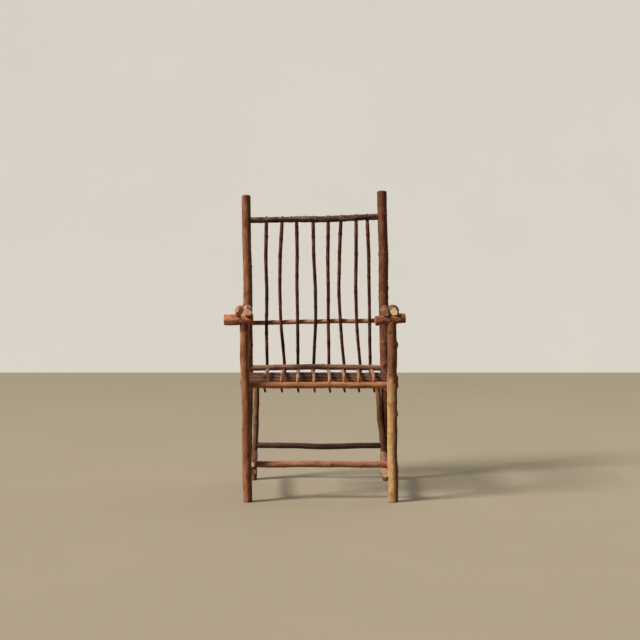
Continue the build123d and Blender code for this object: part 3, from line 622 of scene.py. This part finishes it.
woods = {  # the bark's own tone, its streaks' and its pale patches', and what differs from the kind of wood
    "leftLegBark": wood((150, 96, 65), (80, 45, 32), (182, 128, 88), patches=0.7),
    "rightLegBark": wood((130, 84, 54), (70, 42, 30), (160, 110, 72), patches=0.55,
                         under=dict(base=(192, 148, 96), dark=(140, 90, 54), pale=(214, 172, 120))),
    "leftPostBark": wood((140, 90, 60), (76, 40, 29), (172, 122, 82), patches=0.7),
    "rightPostBark": wood((106, 62, 42), (54, 28, 21), (138, 88, 60), patches=0.7),
    "leftRearBark": wood((122, 84, 62), (62, 38, 30), (156, 114, 84), size=1.1),
    "rightRearBark": wood((150, 104, 76), (80, 50, 38), (188, 140, 106), size=1.1),
    "leftStretcherBark": wood((94, 63, 49), (50, 31, 26), (122, 88, 68),
                              wood=(246, 218, 178), ring=(200, 156, 112)),
    "rightStretcherBark": wood((188, 134, 100), (118, 78, 60), (212, 162, 124),
                               wood=(232, 204, 166), ring=(190, 146, 104)),
    "frontStretcherBark": wood((166, 110, 84), (100, 60, 48), (196, 140, 104),
                               wood=(238, 212, 174), ring=(196, 152, 110)),
    # painted shade: the back stretcher's bark is darker for the shade that falls on it under the seat
    "backStretcherShadedBark": wood((78, 54, 42), (42, 28, 22), (106, 78, 60), size=1.1),
    "seatRailBark": wood((176, 112, 76), (98, 56, 40), (206, 150, 102)),
    "crossRailBark": wood((104, 69, 54), (54, 33, 27), (138, 98, 77), size=1.1),
    "lowerRailBark": wood((138, 98, 78), (74, 48, 42), (170, 126, 98), size=1.1),
    # its dark tone is deepened so that the painted shadow beside the posts reads nearly black; it is also its
    # streaks' tone
    "middleRailBark": wood((204, 142, 110), (78, 44, 33), (222, 168, 132), size=1.1),
    "topRailBark": wood((88, 59, 47), (36, 22, 19), (156, 118, 98), size=1.3, bump=1.0,
                       streaks=0.75, patches=0.9),
    "leftArmBark": wood((190, 114, 78), (114, 58, 38), (226, 172, 128), armWood, size=2.3, pores=1.0),
    "rightArmBark": wood((148, 86, 61), (82, 44, 33), (188, 128, 92), armWood, size=1.8),
    "leftRodBark": wood((168, 116, 84), (92, 54, 38), (212, 170, 130), armWood,
                        wood=(214, 168, 130), ring=(132, 80, 54)),
    "rightInnerBark": wood((118, 78, 60), (56, 36, 32), (160, 112, 84), armWood,
                           wood=(128, 88, 72), ring=(84, 50, 44)),
    "rightOuterBark": wood((112, 76, 56), (52, 34, 30), (160, 118, 86), armWood,
                           wood=(216, 184, 134), ring=(176, 132, 84)),
    "shootBark": wood((70, 33, 22), (25, 12, 9), (132, 78, 56), patches=0.8, size=1.6,
                      bump=0.5, gloss=0.08, wood=(150, 104, 74), ring=(100, 64, 46),
                      under=dict(base=(164, 116, 84), dark=(98, 62, 46), pale=(202, 158, 118))),
}
finish = {name: woodMaterial(name, look) for name, look in woods.items()}
print("stage: the woods are mixed")


# Legs and posts

frontLeg = {
    "cuts": (0.05, 0.2, 0.5),  # heights at which its line is measured
    "seed": {"left": 11, "right": 23},
    "look": {"around": 48, "sway": 0.0013, "nodeEvery": 0.12, "nodeRise": 0.03, "edge": 0.0016},
    "knots": {
        "left": [knot(0.383, (-1, -0.2, 0), 0.0022, 0.008),
                 knot(0.302, (1, -0.3, 0), 0.003, 0.007),
                 knot(0.15, (0.6, -1, 0), 0.0012, 0.009),
                 # painted shadow: this last mark is a dark patch at the leg's top, under the crossbar, where
                 # the crossbar's shadow falls
                 knot(0.566, (-0.5, -1, 0), 0.0006, 0.021, 2.2)],
        "right": [knot(0.503, (1, -0.25, 0), 0.0056, 0.009),
                  knot(0.394, (1, -0.2, 0), 0.0060, 0.010),
                  knot(0.372, (1, -0.5, 0), 0.0042, 0.009),
                  knot(0.281, (1, -0.3, 0), 0.0048, 0.008),
                  knot(0.104, (1, -0.2, 0), 0.0016, 0.010),
                  knot(0.445, (0.3, -1, 0), 0.0012, 0.010)],
    },
    "bare": {"left": None, "right": towards(-0.8, -0.6, 0)},  # the side that is peeled, turned to the key light: the pale bare side and the dark bark left on the far side are partly real peel and partly painted light and shade
    "fade": {"left": (),  # how far it is peeled at each height
             "right": ((alongZ, [(0.0, 0.66), (0.36, 0.72), (0.41, 0.5), (0.5, 0.1)]),)},
}
for side in sides:
    places, radii = poleLine(f"front_leg_{side}", alongZ, frontLeg["cuts"])
    branch(f"frontLeg.{side}", f"front_leg_{side}", finish[f"{side}LegBark"], "peeled_leg", places, radii,
           frontLeg["seed"][side], frontLeg["knots"][side], ((places[0], down), None), frontLeg["fade"][side],
           bareTowards=frontLeg["bare"][side], **frontLeg["look"])

backPost = {
    "cuts": (0.05, 0.2, 0.33, 0.44, 0.52, 0.7, 0.8, 0.9, 1.02),
    "seed": {"left": 31, "right": 47},
    "look": {"around": 48, "sway": 0.0014, "nodeEvery": 0.15, "nodeRise": 0.03, "edge": 0.0016},
    "knots": {
        "left": [knot(0.49, (1, -0.4, 0), 0.002, 0.008),
                 knot(0.80, (0.6, -1, 0), 0.0012, 0.009)],
        "right": [knot(0.416, (-0.5, -1, 0), 0.0042, 0.008, 0.3),
                  knot(0.424, (0.3, -1, 0), 0.0032, 0.006),
                  knot(0.436, (0.8, -0.6, 0), 0.0028, 0.008),
                  knot(0.402, (0.9, -0.3, 0), 0.0028, 0.008),
                  knot(0.70, (1, -0.3, 0), 0.002, 0.008)],
    },
}
for side in sides:
    places, radii = poleLine(f"back_post_{side}", alongZ, backPost["cuts"])
    branch(f"backPost.{side}", f"back_post_{side}", finish[f"{side}PostBark"], "post_bark", places, radii,
           backPost["seed"][side], backPost["knots"][side], ((places[0], down), None), **backPost["look"])

rearLeg = {
    "cuts": (0.03, 0.2, 0.33),
    "seed": {"left": 53, "right": 61},
    "look": {"around": 32, "girth": 1.06, "sway": 0.0012, "nodeEvery": 0.07},
    "knots": {"left": [knot(0.232, (0.2, -1, 0), 0.0022, 0.007)], "right": []},
}
for side in sides:
    places, radii = poleLine(f"rear_leg_{side}", alongZ, rearLeg["cuts"])
    branch(f"rearLeg.{side}", f"rear_leg_{side}", finish[f"{side}RearBark"], "dark_bark", places, radii,
           rearLeg["seed"][side], rearLeg["knots"][side], ((places[0], down), None), **rearLeg["look"])
print("stage: the legs and posts stand")


# Stretchers

stretcherLook = {"around": 32, "sway": 0.001}
sideStretcher = {"cuts": (-0.17, -0.02, 0.1), "seed": {"left": 71, "right": 83}, "whittle": (0.0, 0.014)}
for side in sides:
    places, radii = poleLine(f"side_stretcher_{side}", alongY, sideStretcher["cuts"])
    branch(f"sideStretcher.{side}", f"side_stretcher_{side}", finish[f"{side}StretcherBark"],
           "stretcher_bark", places, radii, sideStretcher["seed"][side], whittle=sideStretcher["whittle"],
           **stretcherLook)

frontStretcher = {"cuts": (-0.15, 0.15), "seed": 97,
                  "sawIn": np.array([0.006, 0, 0]), "sawFaces": towards(-0.8, -0.55, 0.12)}  # the left end
places, radii = poleLine("front_stretcher", alongX, frontStretcher["cuts"])
leftFace = (places[0] + frontStretcher["sawIn"], frontStretcher["sawFaces"])
branch("frontStretcher", "front_stretcher", finish["frontStretcherBark"], "stretcher_bark", places, radii,
       frontStretcher["seed"], faces=(leftFace, None), **stretcherLook)

backStretcher = {"cuts": (-0.2, -0.1, 0.02, 0.1, 0.2), "seed": 101, "whittle": (0.014, 0.014)}
places, radii = poleLine("back_stretcher", alongX, backStretcher["cuts"])
branch("backStretcher", "back_stretcher", finish["backStretcherShadedBark"], "dark_bark", places, radii,
       backStretcher["seed"], whittle=backStretcher["whittle"], **stretcherLook)
print("stage: the stretchers are in")


# Seat frame

railLook = {"around": 34, "sway": 0.0008}
sideRail = {"cuts": (-0.18, -0.08, 0.02, 0.12), "seed": {"left": 103, "right": 107},
            "whittle": (0.02, 0.0)}
for side in sides:
    places, radii = poleLine(f"seat_side_rail_{side}", alongY, sideRail["cuts"])
    branch(f"sideRail.{side}", f"seat_side_rail_{side}", finish["seatRailBark"], "seat_frame", places, radii,
           sideRail["seed"][side], whittle=sideRail["whittle"], **railLook)

frontRail = {"cuts": (-0.195, -0.086, 0.02, 0.09, 0.2), "seed": 109}
places, radii = poleLine("front_seat_rail", alongX, frontRail["cuts"])
branch("frontRail", "front_seat_rail", finish["seatRailBark"], "seat_frame", places, radii,
       frontRail["seed"], **railLook)

crossRail = {"cuts": (-0.15, 0.0, 0.15), "seed": {1: 113, 2: 114, 3: 115}}
for number, seed in crossRail["seed"].items():
    places, radii = poleLine(f"seat_cross_rail_{number}", alongX, crossRail["cuts"])
    branch(f"crossRail.{number}", f"seat_cross_rail_{number}", finish["crossRailBark"], "cross_rail",
           places, radii, seed, **railLook)
print("stage: the seat frame is in")


# Back rails

backRail = {
    "cuts": {"lower": (-0.2, -0.1, 0.02, 0.1, 0.2), "middle": (-0.2, -0.1, 0.0, 0.1, 0.2),
             "top": (-0.205, -0.095, 0.02, 0.115, 0.215)},
    "seed": {"lower": 127, "middle": 131, "top": 137},
    "look": {"around": 32, "sway": 0.0008, "whittle": (0.012, 0.012)},
    "growth": {"lower": {}, "middle": {"girth": 1.06},
               "top": {"girth": 1.05, "swell": 0.07, "ridge": 0.036, "grit": 0.018, "nodeRise": 0.09,
                       "nodeEvery": 0.05}},
    "knots": {"lower": (), "top": (),  # painted shadow: the middle rail is darkened beside the posts, where the posts' and arm rods' shadows fall
              "middle": [knot(0.016, up, 0.0, 0.019, 2.2), knot(0.045, up, 0.0, 0.017, 2.2),
                         knot(0.49, up, 0.0, 0.017, 2.2)]},
}
for place, cuts in backRail["cuts"].items():
    places, radii = poleLine(f"{place}_back_rail", alongX, cuts)
    branch(f"backRail.{place}", f"{place}_back_rail", finish[f"{place}RailBark"], "back_rail", places, radii,
           backRail["seed"][place], backRail["knots"][place], **backRail["look"], **backRail["growth"][place])
print("stage: the back rails are in")


# Arms

crossbar = {
    "cuts": {"left": (-0.288, -0.264), "right": (0.197, 0.275)},
    "seed": {"left": 139, "right": 149},
    "girth": {"left": 1.1, "right": 1.02},
    "look": {"around": 48, "ringStep": 0.0022, "sway": 0.0005, "nodeEvery": 0.05, "ridge": 0.024,
             "grit": 0.016, "edge": 0.0018},
}
for side, cuts in crossbar["cuts"].items():
    places, radii = poleLine(f"arm_crossbar_{side}", alongX, cuts)
    branch(f"crossbar.{side}", f"arm_crossbar_{side}", finish[f"{side}ArmBark"], "arm_bark", places, radii,
           crossbar["seed"][side], girth=crossbar["girth"][side], **crossbar["look"])

armRod = {
    "cuts": (-0.19, 0.0, 0.14),
    "ends": {  # degrees that each sawn front end leans back and turns outwards, its bark and its seed
        ("inner", "left"): (54, -12, "leftRodBark", 150),
        ("outer", "left"): (26, -50, "leftRodBark", 162),
        ("inner", "right"): (34, -14, "rightInnerBark", 152),
        ("outer", "right"): (16, -40, "rightOuterBark", 164),
    },
    "whittle": {"inner": (0.0, 0.02), "outer": (0.0, 0.0)},
    "overhang": 0.011,  # in front of the crossbar's middle
    "sink": 0.002,      # how far the front end hangs below the pole's line
    "look": {"around": 44, "ringStep": 0.0024, "sway": 0.0012, "nodeEvery": 0.07, "ridge": 0.034,
             "grit": 0.022, "edge": 0.0026},
    "knots": {  # lumps and hollows at the front ends, some darkened as painted shade
        ("inner", "left"): [
            knot(0.0, (-0.8, 0, 0.6), -0.0088, 0.0115, 0.1),
            knot(0.022, (-0.8, 0, 0.6), -0.0070, 0.0125, 0.0),
            knot(0.0, (0.8, 0, 0.6), -0.0088, 0.0115, 0.1),
            knot(0.022, (0.8, 0, 0.6), -0.0070, 0.0125, 0.0),
            knot(0.004, (0.7, 0, -0.5), 0.0052, 0.009, 0.0),
            knot(0.004, (-0.8, 0, -0.5), 0.0042, 0.009, 0.1)],
        ("outer", "left"): [
            knot(0.0, (-0.8, 0, 0.6), -0.0105, 0.0135, 0.0),
            knot(0.023, (-0.8, 0, 0.6), -0.0095, 0.0135, 0.0),
            knot(0.046, (-0.8, 0, 0.6), -0.0050, 0.0130, 0.0),
            knot(0.0, (0.4, 0, 0.9), 0.0030, 0.007, 0.0),
            knot(0.004, (-0.7, 0, -0.7), 0.0040, 0.010, 0.0)],
        # on the right rods the dark shares of the knots are painted shade on the ends' right sides and
        # undersides
        ("inner", "right"): [
            knot(0.0, (-0.8, 0, 0.6), -0.0032, 0.012, 0.0),
            knot(0.0, (0.8, 0, 0.5), -0.0026, 0.010, 0.9),
            knot(0.004, (0.7, 0, -0.7), 0.003, 0.011, 0.9),
            knot(0.012, (-0.2, 0, 1.0), 0.0022, 0.007, 0.0)],
        ("outer", "right"): [
            knot(0.0, (0.9, 0, 0.4), -0.0064, 0.013, 1.0),
            knot(0.0, (-0.7, 0, 0.7), -0.0022, 0.010, 0.4),
            knot(0.004, (-0.7, 0, -0.7), 0.003, 0.011, 0.8),
            knot(0.004, (0.7, 0, -0.8), 0.0026, 0.010, 0.4)],
    },
}


def sawFacing(outwards, back, out):
    # the way that a sawn front end faces: (outwards sin out, -cos out cos back, cos out sin back)
    back, out = np.radians(back), np.radians(out)
    return np.array([outwards * np.sin(out), -np.cos(out) * np.cos(back), np.cos(out) * np.sin(back)])


for (place, side), (back, out, bark, seed) in armRod["ends"].items():
    node = f"arm_rod_{place}_{side}"
    places, radii = poleLine(node, alongY, armRod["cuts"])
    barMiddle = np.mean([corner[1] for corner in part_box(f"arm_crossbar_{side}")])
    toFront = places[0] - places[1]
    places[0] = places[1] + toFront * (barMiddle - armRod["overhang"] - places[1][1]) / toFront[1]
    places[0] = places[0] + down * armRod["sink"]
    branch(f"armRod.{place}.{side}", node, finish[bark], "arm_bark", places, radii, seed,
           armRod["knots"][place, side], ((places[0], sawFacing(sides[side], back, out)), None),
           whittle=armRod["whittle"][place], **armRod["look"])
print("stage: the arms are on")


# Bent shoots

shoot = {
    "seeds": (207, 214, 221, 228, 235, 242, 249, 256),
    "look": {"around": 22, "ringStep": 0.0026, "girth": 1.06, "sway": 0.0007, "nodeEvery": 0.075,
             "nodeRise": 0.09, "swell": 0.05, "edge": 0.0012, "sag": (0.0022, 0.0012)},
    "backCuts": (0.952, 0.944, 0.93, 0.9, 0.86, 0.82, 0.78, 0.74, 0.7, 0.66, 0.62, 0.58, 0.54, 0.5, 0.46,
                 0.435),
    "wrapTurns": (-8, -30, -52, -74, -96),  # degrees round the lower rail, from straight back
    "wrapReach": 0.0157,                    # from the lower rail's axis to a shoot's
    "seatCuts": (0.14, 0.1, 0.06, 0.02, -0.03, -0.08, -0.13, -0.17, -0.192),
    "noseCuts": (0.386, 0.376, 0.362),
    "backDepth": 0.2, "seatHeight": 0.4, "noseDepth": -0.21,  # about where the cuts are made
    "noseAxis": -0.212,                     # the depth of the shoots where they go down
    "wrapNear": 0.014, "noseNear": 0.02,    # how near a crossing has to be to belong to the cut
    "tips": {"shoulder": 0.9, "top": 0.9, "stub": 0.92},  # radii there, beside the ones before them
    "stubCurl": np.array([0.0026, 0.0012, 0.0]),  # how far the stub leans out of plumb
    "fade": ((alongY, [(0.0, 0.75), (0.12, 0.0)]),  # peeled over the seat, and on the stubs
             (alongZ, [(0.3494, 0.6), (0.3535, 0.05), (0.362, 1.0)])),
}


def shootLine(node):
    # circles cut level down the back, fanned round the lower rail, upright along the seat, level at the
    # nose, and carried on to the tip and to the stub's end
    wire = wireOf(node)
    low, high = (np.array(corner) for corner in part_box(node))
    middle = (low + high) / 2
    rings = [ringAt(wire, np.array([middle[0], shoot["backDepth"], z]), up) for z in shoot["backCuts"]]
    railLine, _ = poleLine("lower_back_rail", alongX, backRail["cuts"]["lower"])
    railPlace = (np.interp(rings[-1][0][0], railLine[:, 0], railLine[:, k]) for k in (alongY, alongZ))
    hub = np.array([middle[0], *railPlace])
    for turn in np.radians(shoot["wrapTurns"]):
        way = np.array([0, np.cos(turn), np.sin(turn)])
        near = np.array([rings[-1][0][0], *(hub + way * shoot["wrapReach"])[1:]])
        rings.append(ringAt(wire, hub, np.array([0, -way[2], way[1]]), near, shoot["wrapNear"]))
    for y in shoot["seatCuts"]:
        rings.append(ringAt(wire, np.array([middle[0], y, shoot["seatHeight"]]), np.array([0, -1.0, 0])))
    for z in shoot["noseCuts"]:
        near = np.array([rings[-1][0][0], shoot["noseAxis"], z])
        rings.append(ringAt(wire, np.array([middle[0], shoot["noseDepth"], z]), up, near, shoot["noseNear"]))
    places = [place for place, _ in rings]
    radii = [radius for _, radius in rings]
    radii[0] = radii[1] = radii[2] * shoot["tips"]["shoulder"]
    toTop = places[0] - places[1]
    topHeight = high[2] - shoot["look"]["sag"][0]
    places.insert(0, places[0] + toTop * (topHeight - places[0][2]) / toTop[2])
    radii.insert(0, radii[0] * shoot["tips"]["top"])
    places.append(places[-1] + np.array([0, 0, low[2] - places[-1][2]]) + shoot["stubCurl"])
    radii.append(radii[-1] * shoot["tips"]["stub"])
    return np.array(places), np.array(radii)


for number, seed in enumerate(shoot["seeds"], 1):
    places, radii = shootLine(f"bent_shoot_{number}")
    branch(f"bentShoot.{number}", f"bent_shoot_{number}", finish["shootBark"], "shoot_bark", places, radii,
           seed, fade=shoot["fade"], **shoot["look"])
print("stage: the shoots are bent in")


# Nails

nailLook = {"iron": (58, 52, 50), "rust": (104, 58, 38), "rustFrom": 0.45, "rustTo": 0.62, "scale": 700.0,
            "detail": 4.0, "bump": 0.4, "relief": 0.0004}


def nailMaterial():
    # dark iron with rust that noise brings through: metallic is 0.9 less 0.7 of the rust, and roughness
    # 0.42 and 0.4 of it
    material, tree, add, shader = newMaterial("nailIron")
    spots = noise(add, add("ShaderNodeTexCoord").outputs["Object"], nailLook["scale"], nailLook["detail"])
    rust = ramp(add, spots, nailLook["rustFrom"], nailLook["rustTo"])
    colour = mixColour(add, rust, srgb(*nailLook["iron"]), srgb(*nailLook["rust"]))
    tree.links.new(colour, shader.inputs["Base Color"])
    tree.links.new(maths(add, "SUBTRACT", 0.9, times(add, rust, 0.7)), shader.inputs["Metallic"])
    tree.links.new(plus(add, 0.42, times(add, rust, 0.4)), shader.inputs["Roughness"])
    bump = add("ShaderNodeBump", {"Height": spots, "Strength": nailLook["bump"],
                                  "Distance": nailLook["relief"]})
    tree.links.new(bump.outputs[0], shader.inputs["Normal"])
    return material


nailIron = nailMaterial()
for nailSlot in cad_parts["frame_nails"].material_slots:
    nailSlot.material = nailIron
print("stage: the nails are rusted")


# Room, light and camera

room = {"half": 9.0, "wallAt": 6.9, "wallHigh": 7.0}
floorLook = {"colour": (155, 143, 122), "speckle": 1.2, "bounce": 0.62, "glow": 0.12}
wallLook = {"colour": (248, 245, 238), "speckle": 0.5, "bounce": 0.22, "glow": 0.18}
sheetLook = {"detail": 5.0, "darkest": 0.94, "cloud": 0.12, "rough": 0.9, "gloss": 0.15}


def seenBy(add):
    # one for the rays of the eye, of gloss and of glass, and nought for the light that the room sends on
    path = add("ShaderNodeLightPath").outputs
    direct = plus(add, path["Is Camera Ray"], path["Is Glossy Ray"])
    return maths(add, "ADD", direct, path["Is Transmission Ray"], True)


def sheetOf(name, corners, look):
    # a flat sheet whose tone is its colour times 0.94 to 1.06, by noise; the eye sees it full and with its
    # glow, and what it sends on to the chair is the share named bounce
    mesh = bpy.data.meshes.new(name)
    mesh.from_pydata(corners, [], [(0, 1, 2, 3)])
    sheet = newObject(name, mesh)
    material, tree, add, shader = newMaterial(name)
    eye = seenBy(add)
    cloud = noise(add, add("ShaderNodeTexCoord").outputs["Object"], look["speckle"], sheetLook["detail"])
    tone = plus(add, times(add, cloud, sheetLook["cloud"]), sheetLook["darkest"])
    share = add("ShaderNodeMapRange", {0: eye, 3: look["bounce"], 4: 1.0}).outputs[0]
    colour = srgb(*look["colour"])
    tree.links.new(scaled(add, colour[:3], times(add, tone, share)), shader.inputs["Base Color"])
    shader.inputs["Emission Color"].default_value = colour
    tree.links.new(times(add, eye, look["glow"]), shader.inputs["Emission Strength"])
    shader.inputs["Roughness"].default_value = sheetLook["rough"]
    shader.inputs["Specular IOR Level"].default_value = sheetLook["gloss"]
    mesh.materials.append(material)


half, wallAt, wallHigh = room["half"], room["wallAt"], room["wallHigh"]
sheetOf("floor", [(-half, -half, 0), (half, -half, 0), (half, wallAt, 0), (-half, wallAt, 0)], floorLook)
sheetOf("wall", [(-half, wallAt, 0), (half, wallAt, 0), (half, wallAt, wallHigh), (-half, wallAt, wallHigh)],
        wallLook)

skyLook = {"colour": (1.0, 0.98, 0.94, 1), "fill": 0.045, "seen": 0.62}
world = bpy.data.worlds.new("room")
bpy.context.scene.world = world
world.use_nodes = True
sky = world.node_tree.nodes["Background"]
addSky = wireUp(world.node_tree)
strength = addSky("ShaderNodeMath", {0: seenBy(addSky), 1: skyLook["seen"], 2: skyLook["fill"]},
                  operation="MULTIPLY_ADD")
world.node_tree.links.new(strength.outputs[0], sky.inputs["Strength"])
sky.inputs["Color"].default_value = skyLook["colour"]

lamps = {  # suns, with the spread in degrees
    "key": {"strength": 4.45, "spread": 15.0, "from": (-1.0, -0.43, 0.9), "colour": (1.0, 0.98, 0.94)},
    "backFill": {"strength": 1.2, "spread": 60.0, "from": (0.25, 0.75, 0.95), "colour": (1.0, 0.97, 0.92)},
}
for name, look in lamps.items():
    lamp = bpy.data.lights.new(name, "SUN")
    lamp.energy = look["strength"]
    lamp.angle = np.radians(look["spread"])
    lamp.color = look["colour"]
    newObject(name, lamp).rotation_euler = Vector(look["from"]).to_track_quat("Z", "Y").to_euler()

cameraLook = {"place": (0.0134, -3.1324, 0.582), "turn": (np.pi / 2, 0, 0), "lens": 50.96, "sensor": 36}
cameraData = bpy.data.cameras.new("camera")
cameraData.lens = cameraLook["lens"]
cameraData.sensor_width = cameraLook["sensor"]
cameraData.sensor_fit = "HORIZONTAL"
camera = newObject("camera", cameraData)
camera.location = cameraLook["place"]
camera.rotation_euler = cameraLook["turn"]
bpy.context.scene.camera = camera
bpy.context.scene.view_settings.view_transform = "Standard"
print("stage: room, light and camera are set")
